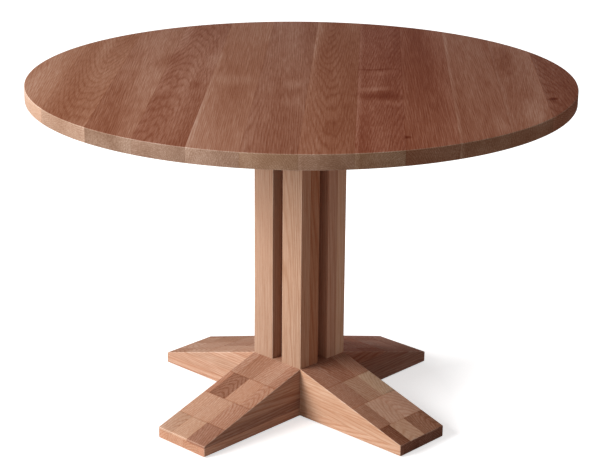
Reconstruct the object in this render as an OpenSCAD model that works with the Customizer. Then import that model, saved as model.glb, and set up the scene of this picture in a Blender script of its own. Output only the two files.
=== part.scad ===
// Round pedestal dining table in solid wood.
// Origin: on the floor, on the column's axis. +Z up, the front is towards -Y.
// The four feet point along the diagonals. The pieces on the diagonals are drawn
// in a frame turned by -45 degrees, whose +X runs to the front-right foot and
// whose +Y runs to the back-right foot.

/* [Overall] */
// Height of the tabletop above the floor
table_h = 765; // [640:1:920]
// Diameter of the round top
top_d = 1200; // [1000:10:1440]

/* [Top] */
// Thickness of the top
top_t = 32; // [27:1:40]
// Radius of the eased upper and lower rim
rim_ease = 2; // [1:0.5:4]
// Turn of the staves from square with the diagonals, in degrees
top_turn = -4; // [-8:1:8]

/* [Column] */
// Thickness of one of the five boards that the square column is glued from
column_board_t = 29.2; // [24:0.1:36]

/* [Base] */
// Distance from the axis to the end of a foot
foot_reach = 372; // [310:1:450]
// Height of the wood at the end of a foot
foot_end_h = 25; // [21:1:30]
// Thickness of each full layer of a foot beam
layer_t = 23.5; // [19:0.5:28.5]
// Thickness of the planed bottom layer
bottom_layer_t = 20; // [16:0.5:24]
// Usual width of the staves that a layer is glued from
foot_stave_w = 48.5; // [40:0.5:60]

/* [Bearers] */
// Length of each of the two crossed bearers under the top
bearer_len = 680; // [560:5:820]
// Width of a bearer
bearer_w = 70; // [66:1:84]
// Depth of a bearer
bearer_h = 45; // [42:1:54]
// Depth left at the tapered end of a bearer
bearer_end_h = 22; // [20:1:28]
// Length of the taper at each end
bearer_taper = 150; // [120:5:180]

/* [Tie rod and dowels] */
// Nominal diameter of the tie rod down the column
rod_d = 12; // [8:1:15]
// Diameter of a dowel
dowel_d = 12; // [8:1:12]
// Length of a dowel
dowel_len = 38; // [24:1:40]

/* [Top screws] */
// Shank diameter of the screws that hold the top
screw_d = 5; // [4:0.5:6]
// Length of a screw under its head
screw_len = 45; // [40:1:48]
// Wood left between a screw's recess and the top
screw_grip = 19; // [17:1:20]
// Free travel of a screw in its slot, across the grain of the top
slot_travel = 6; // [4:1:8]

/* [Glides] */
// Diameter of a felt glide
glide_d = 30; // [20:1:36]
// Thickness of a felt glide
glide_t = 3; // [2:0.5:4]

/* [Hidden] */
$fn = 64;
round_fn = 180;
ease_steps = 4;

stave_count = 12;
// How far each glue line of the top lies from an even split, left to right
joint_shift = [-16, -6, -4, 4, 8, 18, 24, 20, 24, 28, 20];

layer_count = 5;
// Layers of the lower beam that run through under the upper beam
lap_layers = 3;
// First glue line of each layer, bottom to top, from the left or the back side
lower_phase = [30, 42, 45, 15, 22];
upper_phase = [36, 15, 8, 42, 45];
// A stave narrower than this is left joined to its neighbour
thinnest_stave = 10;

// Glue line between two staves of one layer, which keeps them separate pieces
glue_line = 0.1;
glue_gap = 0.1;
rod_clearance = 0.5;
// A nut and its washer follow the thread, as standard ones do
nut_flats = 1.5 * rod_d;
nut_h = 0.8 * rod_d;
rod_washer_d = 2.5 * rod_d;
rod_washer_t = 3;
rod_end = 2;
recess_clearance = 2;
dowel_end_gap = 1;
// Two screws on each arm: from the axis to the inner, and from the end to the outer
inner_screw_r = 122;
screw_end_inset = 61;
screw_head_d = 10;
screw_head_h = 3;
screw_socket_d = 4.6;
screw_socket_h = 2;
screw_washer_d = 16;
screw_washer_t = 2;
slot_clearance = 0.5;
glide_inset = 32;
over = 1;

top_z = table_h - top_t;
bearer_z = top_z - bearer_h;
lap_z = bearer_z + bearer_h / 2;
base_z = glide_t;
base_h = bottom_layer_t + (layer_count - 1) * layer_t;
column_z = base_z + base_h;
column_h = bearer_z - column_z;
column_w = 5 * column_board_t;
rod_bore_r = rod_d / 2 + rod_clearance;
rod_recess_r = rod_washer_d / 2 + recess_clearance;
rod_recess_h = rod_washer_t + nut_h + rod_end + recess_clearance;
base_seat_z = base_z + rod_recess_h;
bearer_seat_z = top_z - rod_recess_h;
rod_len = bearer_seat_z - base_seat_z + 2 * (rod_washer_t + nut_h + rod_end);
// Dowels stand on a ring that meets the middle of the inner boards
dowel_ring = column_board_t;
screw_radii = [inner_screw_r, bearer_len / 2 - screw_end_inset];
slot_w = screw_d + 2 * slot_clearance;
recess_w = screw_washer_d + 2 * slot_clearance;

wood_top = "#8a5b48";
wood_column = "#c1937a";
wood_foot = "#b4866d";
wood_hidden = "#a67c62";
steel = "#b9bcc0";
felt = "#5c5148";

function two_digits(i) = i < 10 ? str("0", i) : str(i);
function stave_name(i) = str("top_stave_", two_digits(i));
// Left edge of top stave i, counted from 1; the outer edges lie past the rim
function stave_edge(i) =
    i == 1 ? -top_d / 2 - over :
    i == stave_count + 1 ? top_d / 2 + over :
    -top_d / 2 + (i - 1) * top_d / stave_count + joint_shift[i - 2];
function layer_bottom(i) = i == 1 ? base_z : base_z + bottom_layer_t + (i - 2) * layer_t;
function layer_height(i) = i == 1 ? bottom_layer_t : layer_t;
// Glue lines across a foot layer: the two sides, and each line between them
function layer_lines(phase) = [
    0,
    for (x = [phase : foot_stave_w : column_w])
        if (x > thinnest_stave && x < column_w - thinnest_stave) x,
    column_w
];
function lower_through(i) = i <= lap_layers;
function layer_nodes(beam, i, through) =
    through ? [str(beam, "_layer_", i)] :
    [str(beam, "_layer_", i, "_front"), str(beam, "_layer_", i, "_back")];

// Puts the children in the diagonal frame
module on_diagonals() {
    rotate([0, 0, -45]) children();
}

// Puts a copy of the children on each of the four diagonals, at a distance
module at_four(distance) {
    for (a = [45 : 90 : 315])
        rotate([0, 0, a]) translate([distance, 0, 0]) children();
}

// A box centred on X and Y that stands on z = 0
module centred_box(x, y, z) {
    translate([-x / 2, -y / 2, 0]) cube([x, y, z]);
}

// A round-ended slot along X, standing on z = 0
module slot(w, travel, h) {
    for (side = [-1, 1])
        translate([side * travel / 2, 0, 0]) cylinder(d = w, h = h);
    centred_box(travel, w, h);
}

// Puts a copy of the children at each screw of the top
module at_screws() {
    for (r = screw_radii)
        at_four(r) children();
}

// The same, with the children's X turned across the grain of the top
module across_grain_at_screws() {
    for (r = screw_radii, a = [45 : 90 : 315])
        rotate([0, 0, a]) translate([r, 0, 0])
            rotate([0, 0, top_turn - a]) children();
}

// ---- Top ----

// Half section of the round top, its rims eased by quarter arcs
module top_section() {
    x = top_d / 2 - rim_ease;
    turns = [for (k = [0 : ease_steps]) 90 * k / ease_steps];
    polygon(concat(
        [[0, 0]],
        [for (a = turns) [x + rim_ease * sin(a), rim_ease * (1 - cos(a))]],
        [for (a = turns) [x + rim_ease * cos(a), top_t - rim_ease * (1 - sin(a))]],
        [[0, top_t]]
    ));
}

// One stave of the top: the disc between two glue lines
module top_stave(i) {
    left = stave_edge(i);
    color(wood_top) difference() {
        intersection() {
            translate([0, 0, top_z]) rotate_extrude($fn = round_fn) top_section();
            rotate([0, 0, top_turn]) translate([left, -top_d, top_z])
                cube([stave_edge(i + 1) - left, 2 * top_d, top_t]);
        }
        translate([0, 0, top_z]) at_screws()
            translate([0, 0, -over])
                cylinder(d = screw_d + 2 * glue_gap, h = screw_reach() + over + glue_gap);
    }
}

// How far a screw goes into the top
function screw_reach() = screw_len - screw_grip - screw_washer_t;

// ---- Bearers ----

// A straight bearer along X, its underside tapered towards the ends
module bearer_blank() {
    half = bearer_len / 2;
    translate([0, bearer_w / 2, bearer_z]) rotate([90, 0, 0])
        linear_extrude(bearer_w) polygon([
            [-half, bearer_h], [-half, bearer_h - bearer_end_h],
            [-half + bearer_taper, 0], [half - bearer_taper, 0],
            [half, bearer_h - bearer_end_h], [half, bearer_h]
        ]);
}

// Slots and recesses for the screws, the bore for the rod and the nut's recess
module bearer_cuts() {
    across_grain_at_screws() {
        translate([0, 0, bearer_z - over]) slot(slot_w, slot_travel, bearer_h + 2 * over);
        translate([0, 0, bearer_z - over])
            slot(recess_w, slot_travel, bearer_h + over - screw_grip);
    }
    translate([0, 0, bearer_z - over]) cylinder(r = rod_bore_r, h = bearer_h + 2 * over);
    translate([0, 0, bearer_seat_z]) cylinder(r = rod_recess_r, h = rod_recess_h + over);
    dowel_holes(bearer_z);
}

// The bearer to the front-right foot: its lower half runs through the lap
module bearer_lower() {
    color(wood_hidden) difference() {
        on_diagonals() difference() {
            bearer_blank();
            translate([0, 0, lap_z]) centred_box(bearer_w, bearer_w + over, bearer_h);
        }
        bearer_cuts();
    }
}

// The bearer to the back-right foot: its upper half runs through the lap
module bearer_upper() {
    color(wood_hidden) difference() {
        on_diagonals() rotate([0, 0, 90]) difference() {
            bearer_blank();
            translate([0, 0, lap_z - bearer_h]) centred_box(bearer_w, bearer_w + over, bearer_h);
        }
        bearer_cuts();
    }
}

// ---- Column ----

// A board of the column in the diagonal frame: its layer from 1 to 5 along Y,
// and its span along X
module column_board(layer, x0, x1) {
    color(wood_column) difference() {
        on_diagonals()
            translate([x0, -column_w / 2 + (layer - 1) * column_board_t, column_z])
                cube([x1 - x0, column_board_t, column_h]);
        translate([0, 0, column_z - over]) cylinder(r = rod_bore_r, h = column_h + 2 * over);
        dowel_holes(column_z);
        dowel_holes(bearer_z);
    }
}

// The corner strips leave a groove one board wide between them
module column_strip_front() { column_board(1, column_board_t / 2, column_w / 2); }
module column_strip_left() { column_board(1, -column_w / 2, -column_board_t / 2); }
module column_board_front() { column_board(2, -column_w / 2, column_w / 2); }
module column_board_back() { column_board(4, -column_w / 2, column_w / 2); }
module column_strip_back() { column_board(5, -column_w / 2, -column_board_t / 2); }
module column_strip_right() { column_board(5, column_board_t / 2, column_w / 2); }
// The core stands back on both sides, so its edges are the floors of two grooves
module column_core() {
    half = column_w / 2 - column_board_t;
    column_board(3, -half, half);
}

// ---- Base ----

// Side outline of a foot beam: flat in the middle, sloping down to both ends
module beam_outline() {
    polygon([
        [-foot_reach, 0], [foot_reach, 0], [foot_reach, foot_end_h],
        [column_w / 2, base_h], [-column_w / 2, base_h], [-foot_reach, foot_end_h]
    ]);
}

// The staves of layer i of a beam along X, between x0 and x1
module layer_staves(i, phase, x0, x1) {
    lines = layer_lines(phase);
    last = len(lines) - 2;
    for (k = [0 : last]) {
        stave_w = lines[k + 1] - lines[k] - (k < last ? glue_line : 0);
        intersection() {
            translate([0, lines[k] + stave_w - column_w / 2, base_z]) rotate([90, 0, 0])
                linear_extrude(stave_w) beam_outline();
            translate([x0, -column_w, layer_bottom(i)])
                cube([x1 - x0, 2 * column_w, layer_height(i)]);
        }
    }
}

// The bore and the recess for the tie rod, and the dowel holes, in the base
module base_cuts() {
    translate([0, 0, base_z - over]) {
        cylinder(r = rod_bore_r, h = base_h + 2 * over);
        cylinder(r = rod_recess_r, h = rod_recess_h + over);
    }
    dowel_holes(column_z);
}

// A layer of the beam to the front-left and back-right feet. Its glue lines are
// counted from the left side. part is "through", "front" or "back".
module lower_beam_layer(i, part) {
    color(wood_foot) difference() {
        on_diagonals() rotate([0, 0, -90])
            beam_part(i, lower_phase[i - 1], part);
        base_cuts();
    }
}

// A layer of the beam to the front-right and back-left feet. Its glue lines are
// counted from the back side.
module upper_beam_layer(i, part) {
    color(wood_foot) difference() {
        on_diagonals() mirror([0, 1, 0])
            beam_part(i, upper_phase[i - 1], part);
        base_cuts();
    }
}

module beam_part(i, phase, part) {
    half = column_w / 2;
    if (part == "through") layer_staves(i, phase, -foot_reach, foot_reach);
    if (part == "front") layer_staves(i, phase, half, foot_reach);
    if (part == "back") layer_staves(i, phase, -foot_reach, -half);
}

// ---- Tie rod and dowels ----

module tie_rod() {
    color(steel)
        translate([0, 0, base_seat_z - rod_washer_t - nut_h - rod_end])
            cylinder(d = rod_d, h = rod_len);
}

// Places the children on both seats of the rod, facing away from the column
module at_rod_seats() {
    translate([0, 0, bearer_seat_z]) children();
    translate([0, 0, base_seat_z]) mirror([0, 0, 1]) children();
}

// A ring of inner diameter d_in, standing on z = 0
module ring(d_out, d_in, h) {
    difference() {
        cylinder(d = d_out, h = h);
        translate([0, 0, -over]) cylinder(d = d_in, h = h + 2 * over);
    }
}

module tie_rod_washers() {
    color(steel) at_rod_seats()
        ring(rod_washer_d, rod_d + 2 * rod_clearance, rod_washer_t);
}

module tie_rod_nuts() {
    color(steel) at_rod_seats() translate([0, 0, rod_washer_t])
        difference() {
            cylinder(d = nut_flats / cos(30), h = nut_h, $fn = 6);
            translate([0, 0, -over])
                cylinder(d = rod_d + 2 * glue_gap, h = nut_h + 2 * over);
        }
}

// Four dowel holes, half above and half below the joint at height z
module dowel_holes(z) {
    hole = dowel_len + 2 * dowel_end_gap;
    translate([0, 0, z - hole / 2]) at_four(dowel_ring)
        cylinder(d = dowel_d + 2 * glue_gap, h = hole);
}

module dowels(z) {
    color(wood_hidden) translate([0, 0, z - dowel_len / 2]) at_four(dowel_ring)
        cylinder(d = dowel_d, h = dowel_len);
}

module base_dowels() { dowels(column_z); }
module bearer_dowels() { dowels(bearer_z); }

// ---- Top screws ----

// One screw pointing up, its head's underside on z = 0
module top_screw() {
    difference() {
        union() {
            cylinder(d = screw_d, h = screw_len);
            translate([0, 0, -screw_head_h]) cylinder(d = screw_head_d, h = screw_head_h);
        }
        translate([0, 0, -screw_head_h - over])
            cylinder(d = screw_socket_d, h = screw_socket_h + over, $fn = 6);
    }
}

module top_screws() {
    color(steel) translate([0, 0, top_z - screw_grip - screw_washer_t])
        at_screws() top_screw();
}

module top_screw_washers() {
    color(steel) translate([0, 0, top_z - screw_grip - screw_washer_t])
        at_screws() ring(screw_washer_d, screw_d + 2 * slot_clearance, screw_washer_t);
}

// ---- Glides ----

module felt_glides() {
    color(felt) at_four(foot_reach - glide_inset)
        cylinder(d = glide_d, h = glide_t);
}

// ---- The assembly ----

for (i = [1 : stave_count])
    top_stave(i);
bearer_lower();
bearer_upper();
column_strip_front();
column_strip_left();
column_board_front();
column_core();
column_board_back();
column_strip_back();
column_strip_right();
for (i = [1 : lap_layers])
    lower_beam_layer(i, "through");
for (i = [lap_layers + 1 : layer_count], part = ["front", "back"])
    lower_beam_layer(i, part);
for (i = [1 : lap_layers], part = ["front", "back"])
    upper_beam_layer(i, part);
for (i = [lap_layers + 1 : layer_count])
    upper_beam_layer(i, "through");
tie_rod();
tie_rod_nuts();
tie_rod_washers();
base_dowels();
bearer_dowels();
top_screws();
top_screw_washers();
felt_glides();
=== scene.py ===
# %% [markdown]
# # A round pedestal table in oiled, stained oak
# The imported CAD model is the frame of this scene. It holds every piece of the table at its
# real size, in metres, with the floor at z = 0 and the front towards -Y. This script gives
# the pieces their looks: eased edges, grain that runs right through each stave, and an
# oiled finish.

import math

import bmesh
import bpy
import numpy as np
from mathutils import Matrix


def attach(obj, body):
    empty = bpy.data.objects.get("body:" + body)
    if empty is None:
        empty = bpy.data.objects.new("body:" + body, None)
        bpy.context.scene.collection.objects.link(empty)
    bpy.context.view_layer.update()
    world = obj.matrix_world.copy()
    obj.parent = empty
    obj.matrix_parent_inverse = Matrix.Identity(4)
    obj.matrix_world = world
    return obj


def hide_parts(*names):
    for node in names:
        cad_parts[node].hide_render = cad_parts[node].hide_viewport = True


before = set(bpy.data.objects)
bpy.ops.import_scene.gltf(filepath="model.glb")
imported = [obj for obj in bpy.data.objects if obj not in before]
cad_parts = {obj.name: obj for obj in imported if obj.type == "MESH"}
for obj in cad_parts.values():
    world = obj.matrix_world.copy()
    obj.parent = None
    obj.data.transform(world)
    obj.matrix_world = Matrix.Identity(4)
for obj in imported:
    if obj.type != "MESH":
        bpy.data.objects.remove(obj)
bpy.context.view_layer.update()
MM = 0.001

# %% [markdown]
# ## The camera
# A long lens from 3.7 m shows the table without much perspective. The camera stands a
# little left of straight in front, so that the column shows one face in the light and one
# in the shade. It is placed by turning a matrix, not by hand, so each angle can be read.

# %% Camera
CAMERA_TURN = math.radians(-1.73)
CAMERA_BACK = 3.678
CAMERA_HEIGHT = 1.657
CAMERA_DOWN = math.radians(18.91)
CAMERA_ROLL = math.radians(0.5)
LENS_MM = 103.4
SENSOR_MM = 36

camera = bpy.data.objects.new("camera", bpy.data.cameras.new("camera"))
camera.data.lens = LENS_MM
camera.data.sensor_width = SENSOR_MM
camera.matrix_world = (
    Matrix.Rotation(CAMERA_TURN, 4, "Z")
    @ Matrix.Translation((0, -CAMERA_BACK, CAMERA_HEIGHT))
    @ Matrix.Rotation(math.pi / 2 - CAMERA_DOWN, 4, "X")
    @ Matrix.Rotation(CAMERA_ROLL, 4, "Z")
)
bpy.context.scene.collection.objects.link(camera)
bpy.context.scene.camera = camera
print("camera at", [round(v, 3) for v in camera.matrix_world.translation])

# %% [markdown]
# ## Colours and nodes
# Colours are written as hex codes, which are sRGB. Blender's shaders work in linear
# light, so one function turns a hex code into linear numbers. A second small
# function adds a shader node with its settings and links, which keeps each material short
# enough to read as a recipe.

# %% Colour and node helpers
def linear(hex_code, alpha=1.0):
    """Linear RGBA from an sRGB hex code: c / 12.92 in the darks, and above them
    ((c + 0.055) / 1.055) ** 2.4."""
    srgb = [int(hex_code[i : i + 2], 16) / 255 for i in (1, 3, 5)]
    return [c / 12.92 if c <= 0.04045 else ((c + 0.055) / 1.055) ** 2.4 for c in srgb] + [alpha]


def add_node(tree, kind, inputs=None, **settings):
    """Adds a node. settings are its options, and inputs maps a socket to a value or to
    another node's output."""
    made = tree.nodes.new(kind)
    for option, value in settings.items():
        setattr(made, option, value)
    for socket, value in (inputs or {}).items():
        if isinstance(value, bpy.types.NodeSocket):
            tree.links.new(value, made.inputs[socket])
        else:
            made.inputs[socket].default_value = value
    return made


def new_material(name):
    """An empty node tree with an output, returned as (material, tree, output)."""
    material = bpy.data.materials.new(name)
    material.use_nodes = True
    material.node_tree.nodes.clear()
    return material, material.node_tree, add_node(material.node_tree, "ShaderNodeOutputMaterial")


# %% [markdown]
# ## The studio
# A plain white studio: a pale floor, and one large soft light from the left. The world
# gives a low, even fill, but to the camera and in reflections it is white. The floor adds a
# glow that only the camera sees, so it is pale and its soft shadows stay.

# %% World
FILL = 0.31
world = bpy.data.worlds.new("white_studio")
bpy.context.scene.world = world
world.use_nodes = True
tree = world.node_tree
tree.nodes.clear()
rays = add_node(tree, "ShaderNodeLightPath")
seen = add_node(
    tree, "ShaderNodeMath", {0: rays.outputs["Is Camera Ray"], 1: rays.outputs["Is Glossy Ray"]},
    operation="MAXIMUM",
)
seen = add_node(
    tree, "ShaderNodeMath", {0: seen.outputs[0], 1: rays.outputs["Is Transmission Ray"]},
    operation="MAXIMUM",
)
fill = add_node(tree, "ShaderNodeBackground", {"Color": (1, 1, 1, 1), "Strength": FILL})
white = add_node(tree, "ShaderNodeBackground", {"Color": (1, 1, 1, 1), "Strength": 1.0})
mixed = add_node(
    tree, "ShaderNodeMixShader", {0: seen.outputs[0], 1: fill.outputs[0], 2: white.outputs[0]}
)
add_node(tree, "ShaderNodeOutputWorld", {"Surface": mixed.outputs[0]})
print("world: white to the camera, fill", FILL)


# %% Floor
FLOOR_HALF = 9.0
PAPER_GREY = 0.72
# Inside the first distance from the middle the glow is weak, and past the second it is full.
GLOW_DISTANCES = (0.36, 0.62)
GLOW_STRENGTHS = (0.62, 1.0)
mesh = bpy.data.meshes.new("floor")
mesh.from_pydata(
    [(x * FLOOR_HALF, y * FLOOR_HALF, 0) for x, y in ((-1, -1), (1, -1), (1, 1), (-1, 1))],
    [], [(0, 1, 2, 3)],
)
floor = bpy.data.objects.new("floor", mesh)
bpy.context.scene.collection.objects.link(floor)

material, tree, output = new_material("matt_white_paper")
rays = add_node(tree, "ShaderNodeLightPath")
paper = add_node(tree, "ShaderNodeBsdfDiffuse", {"Color": (PAPER_GREY, PAPER_GREY, PAPER_GREY, 1)})
# The paper is lit more strongly away from the table, as in a white cove.
spot = add_node(tree, "ShaderNodeTexCoord")
away = add_node(tree, "ShaderNodeVectorMath", {0: spot.outputs["Object"]}, operation="LENGTH")
evened = add_node(
    tree, "ShaderNodeMapRange",
    {"Value": away.outputs["Value"], "From Min": GLOW_DISTANCES[0], "From Max": GLOW_DISTANCES[1],
     "To Min": GLOW_STRENGTHS[0], "To Max": GLOW_STRENGTHS[1]},
)
glow = add_node(
    tree, "ShaderNodeMath", {0: rays.outputs["Is Camera Ray"], 1: evened.outputs[0]},
    operation="MULTIPLY",
)
lift = add_node(
    tree, "ShaderNodeEmission", {"Color": (1, 1, 1, 1), "Strength": glow.outputs[0]}
)
both = add_node(tree, "ShaderNodeAddShader", {0: paper.outputs[0], 1: lift.outputs[0]})
tree.links.new(both.outputs[0], output.inputs["Surface"])
mesh.materials.append(material)
print("floor:", 2 * FLOOR_HALF, "m wide")


# %% Lamps
LIT_POINT = (0, 0, 0.45)
KEY_PLACE = (-3.7, -1.8, 2.15)
KEY_SIZE = 2.0
KEY_POWER = 290


def softbox(name, place, size, power):
    """A square area light of one side length, turned to face the middle of the table."""
    data = bpy.data.lights.new(name, "AREA")
    data.shape = "SQUARE"
    data.size = size
    data.energy = power
    lamp = bpy.data.objects.new(name, data)
    bpy.context.scene.collection.objects.link(lamp)
    lamp.location = place
    to_table = np.array(LIT_POINT) - np.array(place)
    yaw = math.atan2(to_table[1], to_table[0]) - math.pi / 2
    pitch = math.atan2(to_table[2], math.hypot(to_table[0], to_table[1]))
    lamp.rotation_euler = (math.pi / 2 + pitch, 0, yaw)


softbox("key_light", KEY_PLACE, KEY_SIZE, KEY_POWER)
print("key light:", KEY_POWER, "W at", KEY_PLACE)

# %% [markdown]
# ## Reading the frame
# The feet and the column stand at 45 degrees, and the staves of the top run 4 degrees off
# square. Shapes are easiest to state in a frame turned to match. So `span` reads a CAD
# node's extent in a turned frame, and `turned` takes finished points back.

# %% Turned frames
DIAGONAL = math.radians(-45)
TOP_TURN = math.radians(-4)


def turned(points, angle):
    """Points turned about the vertical axis: x cos - y sin, x sin + y cos."""
    x, y, z = np.moveaxis(np.asarray(points, float), -1, 0)
    c, s = math.cos(angle), math.sin(angle)
    return np.stack((x * c - y * s, x * s + y * c, z), axis=-1)


def span(node, angle):
    """Lowest and highest corner of a CAD node, as an array, in a frame turned by angle."""
    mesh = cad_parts[node].data
    points = np.empty(len(mesh.vertices) * 3)
    mesh.vertices.foreach_get("co", points)
    local = turned(points.reshape(-1, 3), -angle)
    return np.array((local.min(axis=0), local.max(axis=0)))


top_nodes = [f"top_stave_{i:02d}" for i in range(1, 13)]
stave_spans = np.array([span(node, TOP_TURN) for node in top_nodes])
TOP_RADIUS = stave_spans[-1, 1, 0]
TOP_LOW, TOP_HIGH = stave_spans[0, :, 2]
print("top: radius %.4f, from z %.4f to %.4f" % (TOP_RADIUS, TOP_LOW, TOP_HIGH))
print("stave widths, mm:", np.round((stave_spans[:, 1, 0] - stave_spans[:, 0, 0]) / MM, 1))

# %% [markdown]
# ## Turning staves into meshes
# Every wooden piece here is a row of closed outlines with a skin over them, like the ribs
# and planking of a boat. One function builds the skin. Another carries what the finish
# needs to know at each point: where it lay in the log, the stave's own stain, and how far
# it is from the nearest glue line. A modelled log gives grain that runs through the wood,
# so the top, the edge and the end of a stave all agree, as they do in real timber.

# %% Skin over outlines
ARC_STEPS = 5


def eased(distance, radius):
    """How far a rounded edge stands back, at a distance from the edge's plane:
    radius - sqrt(radius^2 - (radius - distance)^2) up to the radius, and nothing beyond it."""
    gap = radius - np.clip(distance, 0, radius)
    return radius - np.sqrt(radius**2 - gap**2)


def arc_distances(radius):
    """Distances from an edge's plane at equal turns of its quarter arc, radius * (1 - cos a)."""
    return radius * (1 - np.cos(np.linspace(0, math.pi / 2, ARC_STEPS)))


def skin(loops):
    """Faces over a row of closed loops: quad (i, j) joins points j and j + 1 of loops i and
    i + 1, and the first and last loop are each closed by one flat face."""
    rows, cols = loops.shape[:2]
    i, j = np.meshgrid(np.arange(rows - 1), np.arange(cols), indexing="ij")
    k = (j + 1) % cols
    quads = np.stack((i * cols + j, i * cols + k, (i + 1) * cols + k, (i + 1) * cols + j), axis=-1)
    first = np.arange(cols)[::-1]
    last = (rows - 1) * cols + np.arange(cols)
    return quads.reshape(-1, 4).tolist() + [first.tolist(), last.tolist()]


# %% A stave and its place in the log
def cut_stave(loops, axes, low, high, stain, pith, tilt, seed, glued, open_sides=None, sap=0.0):
    """One stave: its loops, and four values at each point.
    axes names the columns of a point that run along, across and through the stave.
    Place in the log = (along + seed, across - middle + pith + tilt * along, the same through).
    glued says, for the low and high sides across and through, whether there is a glue line.
    open_sides gives each point's distance from the piece's six outer faces, or None for a
    face that is glued; a point near two of them is on an arris."""
    points = loops.reshape(-1, 3)
    along, across, through = (points[:, axis] for axis in axes)
    middle = (low + high) / 2
    log = np.stack((
        along + seed,
        across - middle[axes[1]] + pith[0] * MM + tilt[0] * along,
        through - middle[axes[2]] + pith[1] * MM + tilt[1] * along,
    ), axis=-1)
    far = np.ones(len(points))
    gaps = [
        points[:, axes[1]] - low[axes[1]], high[axes[1]] - points[:, axes[1]],
        points[:, axes[2]] - low[axes[2]], high[axes[2]] - points[:, axes[2]],
    ]
    nearest = [gap if side else far for gap, side in zip(gaps, glued)]
    outer = open_sides(points) if open_sides else [None] * 6
    edges = [far if gap is None else gap for gap in outer]
    return {
        "loops": loops,
        "log": log,
        "stain": np.tile(linear(stain), (len(points), 1)),
        "joint_low": np.stack((nearest[0], nearest[2], far), axis=-1),
        "joint_high": np.stack((nearest[1], nearest[3], far), axis=-1),
        "sap": np.full(len(points), sap),
        "edge_low": np.stack(edges[:3], axis=-1),
        "edge_high": np.stack(edges[3:], axis=-1),
    }


WELD = 0.000002
SHARP_ANGLE = math.radians(28)


def build_piece(name, staves, angle, node, material):
    """Joins staves into one mesh in the model's frame, hangs it on the root body and hides the CAD node it
    stands for.
    """
    points = turned(np.concatenate([stave["loops"].reshape(-1, 3) for stave in staves]), angle)
    faces, start = [], 0
    for stave in staves:
        faces += [[v + start for v in face] for face in skin(stave["loops"])]
        start += stave["loops"].shape[0] * stave["loops"].shape[1]
    mesh = bpy.data.meshes.new(name)
    mesh.from_pydata(points.tolist(), [], faces)
    for attribute, kind, field in (
        ("log", "FLOAT_VECTOR", "vector"), ("stain", "FLOAT_COLOR", "color"),
        ("sap", "FLOAT", "value"),
        ("joint_low", "FLOAT_VECTOR", "vector"), ("joint_high", "FLOAT_VECTOR", "vector"),
        ("edge_low", "FLOAT_VECTOR", "vector"), ("edge_high", "FLOAT_VECTOR", "vector"),
    ):
        values = np.concatenate([stave[attribute] for stave in staves])
        mesh.attributes.new(attribute, kind, "POINT").data.foreach_set(field, values.ravel())
    work = bmesh.new()
    work.from_mesh(mesh)
    bmesh.ops.remove_doubles(work, verts=work.verts, dist=WELD)
    bmesh.ops.dissolve_degenerate(work, edges=work.edges, dist=WELD)
    bmesh.ops.recalc_face_normals(work, faces=work.faces)
    work.to_mesh(mesh)
    open_edges = sum(1 for edge in work.edges if not edge.is_manifold)
    work.free()
    mesh.polygons.foreach_set("use_smooth", np.ones(len(mesh.polygons), bool))
    mesh.set_sharp_from_angle(angle=SHARP_ANGLE)
    piece = bpy.data.objects.new(name, mesh)
    bpy.context.scene.collection.objects.link(piece)
    mesh.materials.append(material)
    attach(piece, "root")
    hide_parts(node)
    if open_edges:
        print("open edges on", name, open_edges)
    return piece


# %% [markdown]
# ## Oiled, stained oak
# The real finish is a thin red-brown stain under a hard oil. The stain soaks deeper where
# the wood is open, which makes the pale wood lighter and less red than the dark lines.
# A power of the stave's own colour does just that: above one it is deeper and redder,
# below one it is paler. Four things set the power: the growth rings, fine fibre streaks,
# slow clouds of colour, and pores. All are measured in the log, stretched along the grain.

# %% Node arithmetic
def math_node(tree, operation, *values):
    """One Math node on two or three numbers or sockets; returns its output."""
    return add_node(tree, "ShaderNodeMath", dict(enumerate(values)), operation=operation).outputs[0]


def vector_node(tree, operation, *values):
    """One Vector Math node on two or three vectors or sockets; returns its output."""
    made = add_node(tree, "ShaderNodeVectorMath", dict(enumerate(values)), operation=operation)
    return made.outputs["Value" if operation == "LENGTH" else "Vector"]


def remap(tree, value, low, high, to_low, to_high, **settings):
    """A Map Range node: low to high becomes to_low to to_high; returns its output."""
    return add_node(
        tree, "ShaderNodeMapRange",
        {"Value": value, "From Min": low, "From Max": high, "To Min": to_low, "To Max": to_high},
        **settings,
    ).outputs[0]


def attribute(tree, name, output="Vector"):
    """The output of one of the mesh's own attributes."""
    return add_node(tree, "ShaderNodeAttribute", attribute_name=name).outputs[output]


# %% Grain
# Figure changes slowly along a log, so its coordinate is drawn out fourteen times that way.
DRAWN_OUT = (0.07, 1, 1)
FIBRE_DRAWN_OUT = (0.022, 1, 1)
# A ring texture repeats every 0.314 / scale, in metres.
RING_PERIOD = 0.314
# A saw-toothed ring: the dark line of early wood, then a slow rise to pale late wood.
RING_STOPS = ((0.0, 0.25), (0.12, 0.0), (0.35, 0.75), (0.8, 1.0), (1.0, 0.45))
# Roughly the mean of that ramp, taken off so that rings hardly pale or darken a stave.
RING_MEAN = 0.68
PORE_WEIGHT = -0.16


def wandering(tree, slow):
    """A slow push of up to 8 mm or so, so that no ring line is quite straight."""
    noise = add_node(
        tree, "ShaderNodeTexNoise", {"Vector": slow, "Scale": 12.0, "Detail": 2.0, "Roughness": 0.5}
    )
    push = vector_node(tree, "SUBTRACT", noise.outputs["Color"], (0.5, 0.5, 0.5))
    return add_node(
        tree, "ShaderNodeVectorMath", {0: push, "Scale": 0.034}, operation="SCALE"
    ).outputs[0]


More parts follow.
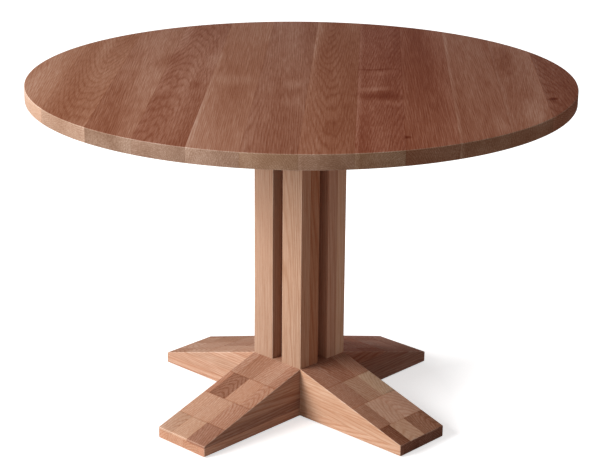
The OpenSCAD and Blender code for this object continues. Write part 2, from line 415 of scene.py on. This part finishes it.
def ring_shade(tree, place, ring_mm):
    """Growth rings about the pith, ring_mm apart, from 0 in the dark line to 1 in the pale wood."""
    rings = add_node(
        tree, "ShaderNodeTexWave",
        {"Vector": place, "Scale": RING_PERIOD / (ring_mm * MM), "Distortion": 2.2, "Detail": 2.0,
         "Detail Scale": 0.7, "Detail Roughness": 0.6},
        wave_type="RINGS", rings_direction="X", wave_profile="SAW",
    )
    ring = add_node(tree, "ShaderNodeValToRGB", {"Fac": rings.outputs["Fac"]})
    ramp = ring.color_ramp
    for place, value in RING_STOPS:
        stop = ramp.elements.new(place) if 0 < place < 1 else ramp.elements[0 if place == 0 else -1]
        stop.color = (value, value, value, 1)
    return ring.outputs["Color"]


def grain_tone(tree, log, slow, wander, ring_mm, weights):
    """Rings, fibres, clouds and pores added up by weight, around one half for plain wood."""
    ring_w, fibre_w, cloud_w = weights
    ring = ring_shade(tree, vector_node(tree, "ADD", slow, wander), ring_mm)
    # Fibres are about 2.5 mm wide, coarser than real ones so that they show.
    drawn = add_node(tree, "ShaderNodeMapping", {"Vector": log, "Scale": FIBRE_DRAWN_OUT})
    fibre = add_node(
        tree, "ShaderNodeTexNoise",
        {"Vector": drawn.outputs[0], "Scale": 400.0, "Detail": 3.0, "Roughness": 0.65},
    )
    clouds = add_node(
        tree, "ShaderNodeTexNoise", {"Vector": slow, "Scale": 11.0, "Detail": 4.0, "Roughness": 0.5}
    )
    # Pores are short dashes about a millimetre wide.
    pores = add_node(tree, "ShaderNodeTexNoise", {"Vector": slow, "Scale": 950.0, "Detail": 1.0})
    pore = remap(tree, pores.outputs["Fac"], 0.58, 0.72, 0.0, 1.0)
    plain = 0.5 - RING_MEAN * ring_w - 0.5 * fibre_w - 0.5 * cloud_w
    tone = math_node(tree, "MULTIPLY_ADD", ring, ring_w, plain)
    tone = math_node(tree, "MULTIPLY_ADD", fibre.outputs["Fac"], fibre_w, tone)
    tone = math_node(tree, "MULTIPLY_ADD", clouds.outputs["Fac"], cloud_w, tone)
    return math_node(tree, "MULTIPLY_ADD", pore, PORE_WEIGHT, tone)


# %% Joints, arrises and marks
def nearest_sides(tree, name):
    """Per axis, the smaller of the distances to a piece's low and high side, as three outputs."""
    near = vector_node(
        tree, "MINIMUM", attribute(tree, f"{name}_low"), attribute(tree, f"{name}_high")
    )
    return add_node(tree, "ShaderNodeSeparateXYZ", {0: near}).outputs


def joint_tone(tree, tone):
    """Darkens the glue lines, and pales a strip of sapwood some 7 mm wide along one side."""
    near = nearest_sides(tree, "joint")
    line = math_node(tree, "MINIMUM", near["X"], near["Y"])
    tone = math_node(tree, "ADD", tone, remap(tree, line, 0.0002, 0.0009, -0.22, 0.0))
    side = add_node(tree, "ShaderNodeSeparateXYZ", {0: attribute(tree, "joint_low")})
    strip = remap(tree, side.outputs["X"], 0.003, 0.011, 1.0, 0.0)
    return math_node(tree, "MULTIPLY_ADD", attribute(tree, "sap", "Fac"), strip, tone)


def edge_distance(tree):
    """Distance from the nearest arris: the middle one of the distances to three faces."""
    near = nearest_sides(tree, "edge")
    less = math_node(tree, "MINIMUM", near["X"], near["Y"])
    more = math_node(tree, "MAXIMUM", near["X"], near["Y"])
    return math_node(tree, "MAXIMUM", less, math_node(tree, "MINIMUM", more, near["Z"]))


def rim_distance(tree, radius, bottom, top):
    """Distance from a disc's arris: the larger of radius - r and the height from a flat face."""
    spot = add_node(tree, "ShaderNodeTexCoord").outputs["Object"]
    out = vector_node(tree, "LENGTH", vector_node(tree, "MULTIPLY", spot, (1, 1, 0)))
    height = add_node(tree, "ShaderNodeSeparateXYZ", {0: spot}).outputs["Z"]
    level = math_node(
        tree, "MINIMUM", math_node(tree, "SUBTRACT", top, height),
        math_node(tree, "SUBTRACT", height, bottom),
    )
    return math_node(tree, "MAXIMUM", math_node(tree, "SUBTRACT", radius, out), level)


def mark_tone(tree, tone, wander, marks):
    """Adds marks, each fading to the edge of an ellipse that the wandering grain pulls about."""
    spot = add_node(tree, "ShaderNodeTexCoord").outputs["Object"]
    square = add_node(tree, "ShaderNodeMapping", {"Vector": spot, "Rotation": (0, 0, -TOP_TURN)})
    place = vector_node(tree, "MULTIPLY_ADD", wander, (0.9, 2.2, 0), square.outputs[0])
    for x, y, half_x, half_y, pale in marks:
        offset = vector_node(
            tree, "MULTIPLY_ADD", place, (1 / half_x, 1 / half_y, 0), (-x / half_x, -y / half_y, 0)
        )
        patch = remap(
            tree, vector_node(tree, "LENGTH", offset), 0.15, 1.1, pale, 0.0,
            interpolation_type="SMOOTHSTEP",
        )
        tone = math_node(tree, "ADD", tone, patch)
    return tone


# %% Oak recipe
# The power of the stain in the darkest and in the palest wood.
STAIN_DEPTH = (1.42, 0.74)


def oiled_oak(name, ring_mm, weights, mapped=None, rim=None, marks=()):
    """Oak with an oil finish. ring_mm is the spacing of the growth rings. weights says how
    much rings, fibres and clouds move the colour. mapped gives a turned Object coordinate
    and a plain stain for a CAD node, which carries no log of its own. rim gives the radius,
    bottom and top of a round top, whose arrises are found from the Object coordinate. marks
    are soft patches and knots on the top, each a place and two half sizes, and how pale it is."""
    material, tree, output = new_material(name)
    if mapped:
        spot = add_node(tree, "ShaderNodeTexCoord").outputs["Object"]
        log = add_node(
            tree, "ShaderNodeMapping",
            {"Vector": spot, "Location": mapped["place"], "Rotation": (0, 0, mapped["turn"])},
        ).outputs[0]
        stain = add_node(tree, "ShaderNodeRGB").outputs[0]
        stain.default_value = linear(mapped["stain"])
    else:
        log = attribute(tree, "log")
        stain = attribute(tree, "stain", "Color")

    slow = add_node(tree, "ShaderNodeMapping", {"Vector": log, "Scale": DRAWN_OUT}).outputs[0]
    wander = wandering(tree, slow)
    tone = grain_tone(tree, log, slow, wander, ring_mm, weights)
    if not mapped:
        tone = joint_tone(tree, tone)
        # Painted highlight: within 2 mm of an arris the wood is paler, where an eased edge catches the
        # light.
        arris = rim_distance(tree, *rim) if rim else edge_distance(tree)
        tone = math_node(tree, "ADD", tone, remap(tree, arris, 0.0006, 0.0018, 0.45, 0.0))
    if marks:
        tone = mark_tone(tree, tone, wander, marks)

    power = remap(tree, tone, 0.0, 1.0, *STAIN_DEPTH, clamp=False)
    colour = add_node(tree, "ShaderNodeGamma", {"Color": stain, "Gamma": power})
    gloss = remap(tree, tone, 0.2, 0.8, 0.7, 0.55)
    relief = add_node(tree, "ShaderNodeBump", {"Height": tone, "Strength": 0.45, "Distance": 0.0004})
    wood = add_node(
        tree, "ShaderNodeBsdfPrincipled",
        {"Base Color": colour.outputs[0], "Roughness": gloss, "Normal": relief.outputs[0],
         "IOR": 1.46, "Specular IOR Level": 0.02},
    )
    tree.links.new(wood.outputs[0], output.inputs["Surface"])
    return material


# %% Oak for the top, the column and the feet
# Curly patches, two knots, and places where the stain took badly, each listed as: the
# stave it is on, its place along the stave as a share of the top's radius (front is less
# than 0), its place across the stave, half its length and half its width in mm, and how pale it is.
TOP_MARKS = [
    (1, -0.10, 0.5, 200, 40, 0.14), (2, 0.00, 0.9, 180, 70, 0.12), (3, 0.25, 0.9, 110, 35, -0.26),
    (4, 0.25, 0.9, 120, 30, 0.22), (4, -0.20, 0.1, 80, 25, 0.18), (4, -0.15, 0.7, 60, 20, -0.28),
    (5, -0.05, 0.5, 70, 60, 0.26), (6, -0.10, 0.7, 60, 30, 0.24), (6, -0.35, 0.7, 80, 30, 0.16),
    (7, 0.45, 0.0, 110, 12, 0.20), (7, -0.70, 0.5, 90, 40, -0.14), (8, 0.15, 0.4, 12, 55, -0.30),
    (8, 0.08, 0.6, 35, 40, 0.20), (8, -0.15, 0.4, 25, 50, 0.22), (8, -0.25, 0.5, 45, 60, -0.38),
    (8, -0.35, 0.8, 30, 35, 0.16), (9, -0.78, 0.05, 13, 11, -0.65), (10, -0.60, 0.8, 90, 20, 0.18),
    (11, 0.35, 0.2, 190, 45, -0.20), (11, -0.45, 0.6, 150, 35, 0.26), (12, -0.25, 0.2, 14, 12, -0.75),
]


def placed_marks():
    """Each mark's middle in the staves' frame, x = left glue line + across * stave width and
    y = along * radius, with its half sizes in metres and its paleness."""
    placed = []
    for stave, along, across, half_length, half_width, pale in TOP_MARKS:
        left, right = stave_spans[stave - 1, :, 0]
        x, y = left + across * (right - left), along * TOP_RADIUS
        placed.append((x, y, half_width * MM, half_length * MM, pale))
    return placed


oak_top = oiled_oak(
    "stained_oak_top_oiled", 3.8, (0.22, 1.20, 1.45), rim=(TOP_RADIUS, TOP_LOW, TOP_HIGH),
    marks=placed_marks(),
)
oak_column = oiled_oak("stained_oak_column_oiled", 5.0, (0.26, 1.05, 0.75))
oak_foot = oiled_oak("stained_oak_feet_oiled", 5.0, (0.36, 1.20, 1.10))
print("oak finishes:", oak_top.name, oak_column.name, oak_foot.name)

# %% [markdown]
# ## The top
# The top is a disc 32 mm thick, glued up from twelve wide staves and then turned and sanded
# flush. It could be one disc with stripes painted on it, but then the rim would not show
# each stave's end grain. Here each stave is its own slice of the disc. At a distance x from
# the middle, the slice reaches to the rim's circle, so its half length is sqrt(r^2 - x^2),
# and r shrinks along the eased arrises at the upper and lower rim.

# %% Twelve staves
RIM_EASE = 2 * MM
ARC_STEP = math.radians(1.2)


def top_stave_loops(x_low, x_high):
    """Loops across a stave: at each x a closed outline in Y and Z. r(z) = radius less the
    eased arris, x = min(x, r(z)), y = +-sqrt(r(z)^2 - x^2), with z up one side and down the other."""
    turns = np.arcsin(np.clip(np.array((x_low, x_high)) / TOP_RADIUS, -1, 1))
    steps = 2 + int((turns[1] - turns[0]) / ARC_STEP)
    x = TOP_RADIUS * np.sin(np.linspace(turns[0], turns[1], steps))[:, None]
    arc = arc_distances(RIM_EASE)
    z = np.concatenate((TOP_LOW + arc, TOP_HIGH - arc[::-1]))[None, :]
    reach = TOP_RADIUS - eased(z - TOP_LOW, RIM_EASE) - eased(TOP_HIGH - z, RIM_EASE)
    x = np.clip(x + 0 * z, -reach, reach)
    z = z + 0 * x
    y = np.sqrt(np.maximum(reach**2 - x**2, 0))
    back = np.stack((x, y, z), axis=-1)
    front = np.stack((x, -y, z), axis=-1)
    return np.concatenate((back, front[:, ::-1]), axis=1)


# Each stave: its stain, the greyer stain of its end grain, the pith's place across and
# below it in mm, its tilt, and how pale the sapwood is along its left edge.
# A pith close below a stave gives pointed arches, and one far to the side gives straight lines.
TOP_STAVES = [
    ("#a0745d", "#a98c79", (60, 45), (0.03, 0.050), 0.0),
    ("#9c6f58", "#9b8170", (-20, 60), (0.02, -0.060), 0.1),
    ("#93644e", "#826959", (120, 50), (0.03, 0.030), 0.0),
    ("#8e5d48", "#8a7060", (20, 75), (-0.02, 0.050), 0.1),
    ("#9e705a", "#8a6e5d", (-150, 60), (0.03, 0.020), 0.12),
    ("#90604b", "#8b6d58", (90, 40), (0.05, -0.030), 0.0),
    ("#986750", "#917360", (10, 34), (0.01, -0.045), 0.08),
    ("#844c37", "#85654f", (-70, 50), (-0.03, 0.060), 0.26),
    ("#8a533d", "#855d48", (160, 60), (0.02, 0.020), 0.0),
    ("#93604a", "#8c654f", (-190, 40), (0.03, 0.020), 0.28),
    ("#925f49", "#8a614b", (130, 30), (-0.04, 0.040), 0.05),
    ("#824d38", "#86553f", (40, 50), (0.03, 0.060), 0.15),
]

for i, (stain, end_stain, pith, tilt, sap) in enumerate(TOP_STAVES):
    node, (low, high) = top_nodes[i], stave_spans[i]
    # Each stave lies in its own stretch of the log, 3.7 m from the next.
    stave = cut_stave(
        top_stave_loops(low[0], high[0]), (1, 0, 2), low, high, stain, pith, tilt, 3.7 * (i + 1),
        (i > 0, i < len(top_nodes) - 1, False, False), sap=sap,
    )
    points = stave["loops"].reshape(-1, 3)
    on_rim = np.hypot(points[:, 0], points[:, 1]) > TOP_RADIUS - 0.5 * RIM_EASE
    stave["stain"][on_rim] = linear(end_stain)
    build_piece(f"oak_{node}", [stave], TOP_TURN, node, oak_top)
print("top staves:", len(TOP_STAVES))

# %% [markdown]
# ## The column
# Seven boards make the square column in five layers. The two outer layers are pairs of
# narrow strips, and the middle layer is set back, so a groove one board wide runs down each
# face. The outline of each board is carried straight up. Only corners that a hand can
# reach are eased, because the others are glued flush against the next board.

# %% Seven boards
CORNER_EASE = 1.6 * MM
SQUARE_CORNER = 0.001 * MM
BOARD_STATIONS = 9


def eased_outline(low, high, radii):
    """A rectangle's outline, anticlockwise from its lowest corner, each corner a quarter arc:
    corner + radius * (cos a, sin a) about a centre set in by the radius."""
    corners = np.array(((low[0], low[1]), (high[0], low[1]), (high[0], high[1]), (low[0], high[1])))
    inward = np.array(((1, 1), (-1, 1), (-1, -1), (1, -1)))
    starts = np.radians((180, 270, 0, 90))
    sweep = np.linspace(0, math.pi / 2, ARC_STEPS)
    r = np.maximum(np.array(radii), SQUARE_CORNER)[:, None]
    a = starts[:, None] + sweep[None, :]
    x = corners[:, :1] + inward[:, :1] * r + r * np.cos(a)
    y = corners[:, 1:] + inward[:, 1:] * r + r * np.sin(a)
    return np.stack((x.ravel(), y.ravel()), axis=-1)


def column_loops(low, high, radii):
    """The outline repeated at heights from the foot of the board to its head."""
    outline = eased_outline(low, high, radii)
    z = np.linspace(low[2], high[2], BOARD_STATIONS)
    loops = np.empty((len(z), len(outline), 3))
    loops[:, :, :2] = outline
    loops[:, :, 2] = z[:, None]
    return loops


# Each board: stain, pith across and through, tilt, which corners are eased (anticlockwise
# from the lowest), and whether a neighbour is glued on below and above, through the layers.
E = CORNER_EASE
# The front strip's side towards the right lies in the shade; its own redder colour is painted shade.
PAINTED_SHADE_SIDE = "#b07f64"
COLUMN_BOARDS = {
    "column_strip_front": ("#a3826c", (12, 45), (0.020, 0.030), (E, E, 0, 0), (False, True)),
    "column_strip_left": ("#a98974", (-70, 40), (0.015, 0.020), (E, E, 0, 0), (False, True)),
    "column_board_front": ("#ab7457", (30, 30), (0.015, 0.050), (0, 0, E, E), (True, True)),
    "column_core": ("#bf9780", (40, 60), (0.010, 0.010), (0, 0, 0, 0), (True, True)),
    "column_board_back": ("#b78870", (90, 50), (0.010, 0.020), (E, E, 0, 0), (True, True)),
    "column_strip_back": ("#b98e75", (40, 60), (0.020, 0.010), (0, 0, E, E), (True, False)),
    "column_strip_right": ("#c89b7f", (60, 60), (0.010, 0.020), (0, 0, E, E), (True, False)),
}


def board_open_sides(low, high, glued):
    """A function that gives points' distances from a board's four sides, without glued ones."""
    return lambda points: [
        points[:, 0] - low[0], None if glued[0] else points[:, 1] - low[1], None,
        high[0] - points[:, 0], None if glued[1] else high[1] - points[:, 1], None,
    ]


for i, (node, (stain, pith, tilt, radii, glued)) in enumerate(COLUMN_BOARDS.items()):
    low, high = span(node, DIAGONAL)
    # The boards' stretches of the log lie beyond the top's, 2.9 m apart.
    stave = cut_stave(
        column_loops(low, high, radii), (2, 0, 1), low, high, stain, pith, tilt, 61.3 + 2.9 * i,
        (False, False) + glued, board_open_sides(low, high, glued),
    )
    # Painted shade on the front strip's right-facing side.
    if node == "column_strip_front":
        stave["stain"][stave["loops"][..., 0].ravel() > high[0] - 0.5 * E] = linear(PAINTED_SHADE_SIDE)
    build_piece(f"oak_{node}", [stave], DIAGONAL, node, oak_column)
print("column boards:", len(COLUMN_BOARDS))

# %% [markdown]
# ## The feet
# Two beams cross under the column. Each is glued up from five layers of narrow staves and
# then cut to a slope, so the cut runs through the layers and shows blocks of different
# staves, like a parquet. A stave is a row of outlines along the beam. At a distance x from
# the middle, the beam is h(x) high, and its half width is what is left beside the eased
# edges. Both are the same for all staves, so the blocks meet flush.

# %% Foot staves
FOOT_EASE = 1.8 * MM
GLUE_LINE = 0.1 * MM
END_HEIGHT = 25 * MM
FOOT_STATIONS = 36
# Just outside the square under the column, where the eased arrises begin.
JUST_OUT = 0.05 * MM
bottom_span = span("lower_beam_layer_1", DIAGONAL + math.pi / 2)
FOOT_REACH = bottom_span[1, 0]
FOOT_BOTTOM = bottom_span[0, 2]
HALF_WIDTH = bottom_span[1, 1]
FOOT_TOP = span("upper_beam_layer_5", DIAGONAL)[1, 2]
FOOT_END = FOOT_BOTTOM + END_HEIGHT
SLOPE = (FOOT_TOP - FOOT_END) / (FOOT_REACH - HALF_WIDTH)


def beam_height(x):
    """Height of the sloping cut at a distance from the middle, less the eased arris at the end."""
    line = FOOT_END + (FOOT_REACH - x) * SLOPE
    return np.minimum(line, FOOT_TOP) - eased(FOOT_REACH - x, FOOT_EASE)


def beam_half_width(x, z):
    """Half the beam's width, less the eased arrises along the cut, down the end and at the floor."""
    back = eased(FOOT_END + (FOOT_REACH - x) * SLOPE - z, FOOT_EASE)
    back = back + eased(FOOT_REACH - x, FOOT_EASE) + eased(z - FOOT_BOTTOM, FOOT_EASE)
    return HALF_WIDTH - np.where(x > HALF_WIDTH, back, 0)


def foot_stave_loops(x_low, x_high, y_low, y_high, z_low, z_high):
    """Loops along a stave. At each x, z runs up from the layer's bottom to the lower of the
    layer's top and the cut, close together at the eased arrises, and y is the glue line or
    the beam's side."""
    # The cut leaves this layer where its height is the layer's bottom.
    x_out = min(FOOT_REACH, FOOT_REACH - (z_low - FOOT_END) / SLOPE)
    out = np.concatenate((
        np.linspace(HALF_WIDTH, x_out, FOOT_STATIONS), [HALF_WIDTH + JUST_OUT],
        np.clip(FOOT_REACH - arc_distances(FOOT_EASE), HALF_WIDTH, x_out),
        [min(x_out, FOOT_REACH - max(0, z_high - FOOT_END) / SLOPE)],
    ))
    stations = np.unique(np.round(out, 7))
    if x_low < 0 < x_high:
        stations = np.concatenate((-stations[::-1], stations))
    elif x_high < 0:
        stations = -stations[::-1]
    x = stations[:, None]
    top = np.minimum(beam_height(np.abs(x)), z_high)
    arc = arc_distances(FOOT_EASE)
    steps = [z_low + arc[None, :] + 0 * x, top - arc[None, :] + 0 * x, (top + z_low) / 2 + 0 * x]
    z = np.sort(np.clip(np.concatenate(steps, axis=1), z_low, top), axis=1)
    half = beam_half_width(np.abs(x), z)
    near = half if y_high >= HALF_WIDTH - GLUE_LINE / 2 else y_high + 0 * half
    far = -half if y_low <= -HALF_WIDTH + GLUE_LINE / 2 else y_low + 0 * half
    x = x + 0 * z
    up = np.stack((x, far, z), axis=-1)
    down = np.stack((x, near, z), axis=-1)
    return np.concatenate((up, down[:, ::-1]), axis=1)


# %% Layers of the two beams
# Glue lines across each layer in mm, from the left side of the lower beam and from the back
# side of the upper one. Each block of a layer has its stain: the front foot's and the back
# foot's come from the same stave where the layer runs through. A second colour, paler than
# the stave's top, is painted light on the stave's outer side face, which faces the key light.
STAVE = 48.5
THINNEST_STAVE = 10
LOWER_LINES = (30, 42, 45, 15, 22)
UPPER_LINES = (36, 15, 8 + STAVE, 42, 45)
LOWER_STAINS = [
    ["#b58c74", "#b28971", "#b0866e", "#bb9079"],
    ["#b3917b", "#b8937b", "#9f7865"],
    ["#b68e76", "#b48c74", "#a87e68"],
    ["#ad8069", "#926a56", "#b68d75", "#ae846d"],
    ["#a57c66", "#a57d67", "#ab826b", "#a97f69"],
]
UPPER_STAINS = [
    ["#a57b65", "#a87e68", "#b28a72", "#bd957b"],
    ["#936953", "#946a54", "#c09c84", "#835945 #bb947a"],
    ["#bf9780", "#bd9780", "#a47b65 #bd967c"],
    ["#c0a188", "#b08a72", "#a37862 #bf997f"],
    ["#a3755e", "#a0725c", "#a0735d #be987e"],
]
# The back feet: other staves in the split layers, and another part of the long ones.
UPPER_BACK_STAINS = [
    ["#a57b65", "#a87e68", "#b28a72", "#b8917a"],
    ["#b28b75", "#b5907a", "#ba947e", "#b38d77 #b9957f"],
    ["#b08972", "#b9937d", "#ba957f #b3907a"],
    ["#b48d77", "#ab836d", "#bb9680 #b69079"],
    ["#ad856f", "#b18a74", "#b8927c #b48d76"],
]
LOWER_BACK_STAINS = [
    ["#ad8170", "#ad8170", "#a97d6b", "#a77b69"],
    ["#a67a68", "#a47866", "#a07462"],
    ["#a57765", "#a97b69", "#a57765"],
    ["#a56c53", "#a8705a", "#aa735e", "#a56f5a"],
    ["#aa715b", "#a56d58", "#a8705b", "#a36b56"],
]
# Painted shade: the front-right foot's end face, turned away from the key light, is darker than the other
# end grain.
PAINTED_SHADE_RIGHT_END = "#7f5747"


def foot_open_sides(points):
    """Distances from the beam's two sides, its floor face, its cut and its two ends."""
    x, y, z = points.T
    cut = (FOOT_END + (FOOT_REACH - np.abs(x)) * SLOPE - z) * math.cos(math.atan(SLOPE))
    return [HALF_WIDTH + y, z - FOOT_BOTTOM, FOOT_REACH + x, HALF_WIDTH - y, cut, FOOT_REACH - x]


def layer_lines(first):
    """Glue lines from one side of the beam to the other: first, then one stave width apart."""
    lines = np.arange(first, 2 * HALF_WIDTH / MM - THINNEST_STAVE, STAVE) * MM
    return np.concatenate(([0], lines, [2 * HALF_WIDTH]))


def build_layer(node, beam, layer, first, stains, back_stains, side):
    """One layer of a beam. In the lower beam's frame +X is the front-left foot, and in the
    upper beam's it is the front-right foot. side is -1 where the lines count from +Y."""
    angle = DIAGONAL - math.pi / 2 if beam == "lower" else DIAGONAL
    low, high = span(node, angle)
    lines = layer_lines(first)
    staves = []
    for k in range(len(lines) - 1):
        line = GLUE_LINE if k < len(lines) - 2 else 0
        edges = np.array((lines[k], lines[k + 1] - line)) - HALF_WIDTH
        y_low, y_high = edges if side > 0 else -edges[::-1]
        box_low = np.array((low[0], y_low, low[2]))
        box_high = np.array((high[0], y_high, high[2]))
        # A stretch of the log for each stave, beyond the column's, and the seed of its draws.
        seed = 101.7 + 5.3 * layer + 1.9 * k + (37.1 if beam == "upper" else 0)
        seed += 11.3 * (low[0] > 0)
        draw = np.random.default_rng(int(seed * 10))
        pith = (draw.uniform(-90, 90), draw.uniform(25, 70))
        tilt = draw.uniform(-0.06, 0.06, 2)
        stain, lit_side_paint = (stains[k] + " ").split(" ")[:2]
        back, back_lit_side_paint = (back_stains[k] + " ").split(" ")[:2]
        stave = cut_stave(
            foot_stave_loops(low[0], high[0], y_low, y_high, low[2], high[2]), (0, 1, 2),
            box_low, box_high, stain, pith, tilt, seed,
            (y_low > -HALF_WIDTH + MM, y_high < HALF_WIDTH - MM, layer > 1, layer < 5),
            foot_open_sides,
        )
        x, y = stave["loops"][..., 0].ravel(), stave["loops"][..., 1].ravel()
        outer = np.abs(y) > HALF_WIDTH - 0.6 * FOOT_EASE
        stave["stain"][x < 0] = linear(back)
        # Painted light: the stave's outer side that faces the key light is paler than its top.
        if lit_side_paint:
            stave["stain"][outer & (x > 0)] = linear(lit_side_paint)
        if back_lit_side_paint:
            stave["stain"][outer & (x < 0)] = linear(back_lit_side_paint)
        # Painted shade on the end face of the front-right foot.
        if beam == "upper":
            stave["stain"][x > FOOT_REACH - 0.5 * FOOT_EASE] = linear(PAINTED_SHADE_RIGHT_END)
        staves.append(stave)
    build_piece(f"oak_{node}", staves, angle, node, oak_foot)
    return len(staves)


foot_count = 0
for beam, all_lines, all_stains, back_stains, side in (
    ("lower", LOWER_LINES, LOWER_STAINS, LOWER_BACK_STAINS, 1),
    ("upper", UPPER_LINES, UPPER_STAINS, UPPER_BACK_STAINS, -1),
):
    for layer in range(1, 6):
        through = layer <= 3 if beam == "lower" else layer > 3
        for end in [""] if through else ["_front", "_back"]:
            foot_count += build_layer(
                f"{beam}_beam_layer_{layer}{end}", beam, layer, all_lines[layer - 1],
                all_stains[layer - 1], back_stains[layer - 1], side,
            )
print("foot staves:", foot_count)

# %% [markdown]
# ## Bearers, hardware and glides
# These shapes are right as the CAD has them, slots and recesses included, so the CAD nodes
# stay and only get their finishes. Most of them are out of sight under the top.

# %% Finishes for the CAD nodes
def finish_node(node, material):
    """Puts one material on a CAD node in place of its plain colour."""
    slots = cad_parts[node].material_slots
    if not slots:
        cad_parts[node].data.materials.append(material)
    for slot in slots:
        slot.material = material


def zinc_plated_steel():
    """Zinc plate on steel: a pale grey metal, dulled by fine mottling from the plating bath."""
    material, tree, output = new_material("zinc_plated_steel")
    spot = add_node(tree, "ShaderNodeTexCoord")
    mottle = add_node(
        tree, "ShaderNodeTexNoise",
        {"Vector": spot.outputs["Object"], "Scale": 300.0, "Detail": 3.0, "Roughness": 0.6},
    )
    tint = add_node(tree, "ShaderNodeValToRGB", {"Fac": mottle.outputs["Fac"]})
    tint.color_ramp.elements[0].color = linear("#9a9da0")
    tint.color_ramp.elements[1].color = linear("#d2d4d3")
    dull = add_node(
        tree, "ShaderNodeMapRange",
        {"Value": mottle.outputs["Fac"], "From Min": 0.3, "From Max": 0.7, "To Min": 0.28, "To Max": 0.46},
    )
    metal = add_node(
        tree, "ShaderNodeBsdfPrincipled",
        {"Base Color": tint.outputs["Color"], "Metallic": 1.0, "Roughness": dull.outputs[0]},
    )
    tree.links.new(metal.outputs[0], output.inputs["Surface"])
    return material


def pressed_felt():
    """Pressed wool felt: a soft grey-brown mat of fibres about a millimetre apart, quite matt."""
    material, tree, output = new_material("pressed_wool_felt")
    spot = add_node(tree, "ShaderNodeTexCoord")
    tangle = add_node(
        tree, "ShaderNodeTexNoise",
        {"Vector": spot.outputs["Object"], "Scale": 1100.0, "Detail": 4.0, "Roughness": 0.7,
         "Distortion": 1.0},
    )
    tint = add_node(tree, "ShaderNodeValToRGB", {"Fac": tangle.outputs["Fac"]})
    tint.color_ramp.elements[0].position = 0.3
    tint.color_ramp.elements[1].position = 0.7
    tint.color_ramp.elements[0].color = linear("#463d36")
    tint.color_ramp.elements[1].color = linear("#75695f")
    nap = add_node(
        tree, "ShaderNodeBump", {"Height": tangle.outputs["Fac"], "Strength": 0.6, "Distance": 0.0006}
    )
    felt = add_node(
        tree, "ShaderNodeBsdfPrincipled",
        {"Base Color": tint.outputs["Color"], "Roughness": 0.95, "Normal": nap.outputs[0],
         "Specular IOR Level": 0.2},
    )
    tree.links.new(felt.outputs[0], output.inputs["Surface"])
    return material


def planed_beech():
    """Planed beech dowel: pale pinkish wood with short dark flecks, left without oil."""
    material, tree, output = new_material("planed_beech_raw")
    spot = add_node(tree, "ShaderNodeTexCoord")
    drawn = add_node(tree, "ShaderNodeMapping", {"Vector": spot.outputs["Object"], "Scale": (1, 1, 0.08)})
    fleck = add_node(
        tree, "ShaderNodeTexNoise", {"Vector": drawn.outputs[0], "Scale": 700.0, "Detail": 3.0}
    )
    tint = add_node(tree, "ShaderNodeValToRGB", {"Fac": fleck.outputs["Fac"]})
    tint.color_ramp.elements[0].position = 0.35
    tint.color_ramp.elements[1].position = 0.6
    tint.color_ramp.elements[0].color = linear("#b98d66")
    tint.color_ramp.elements[1].color = linear("#d8b48f")
    wood = add_node(
        tree, "ShaderNodeBsdfPrincipled", {"Base Color": tint.outputs["Color"], "Roughness": 0.7}
    )
    tree.links.new(wood.outputs[0], output.inputs["Surface"])
    return material


for node, turn, place in (
    ("bearer_lower", math.radians(45), (7.0, 0.06, -0.66)),
    ("bearer_upper", math.radians(-45), (9.0, -0.05, -0.65)),
):
    finish_node(node, oiled_oak(
        f"stained_oak_{node}", 6.5, (0.26, 0.6, 0.5),
        mapped={"turn": turn, "place": place, "stain": "#9a6f57"},
    ))
steel = zinc_plated_steel()
for node in ("tie_rod", "tie_rod_nuts", "tie_rod_washers", "top_screws", "top_screw_washers"):
    finish_node(node, steel)
beech = planed_beech()
for node in ("base_dowels", "bearer_dowels"):
    finish_node(node, beech)
finish_node("felt_glides", pressed_felt())
print("CAD nodes finished: two bearers, five of steel, two of beech and the glides")

# %% [markdown]
# ## Colour management
# The Standard view shows colours as they are written.

# %% Colour management
bpy.context.scene.view_settings.view_transform = "Standard"
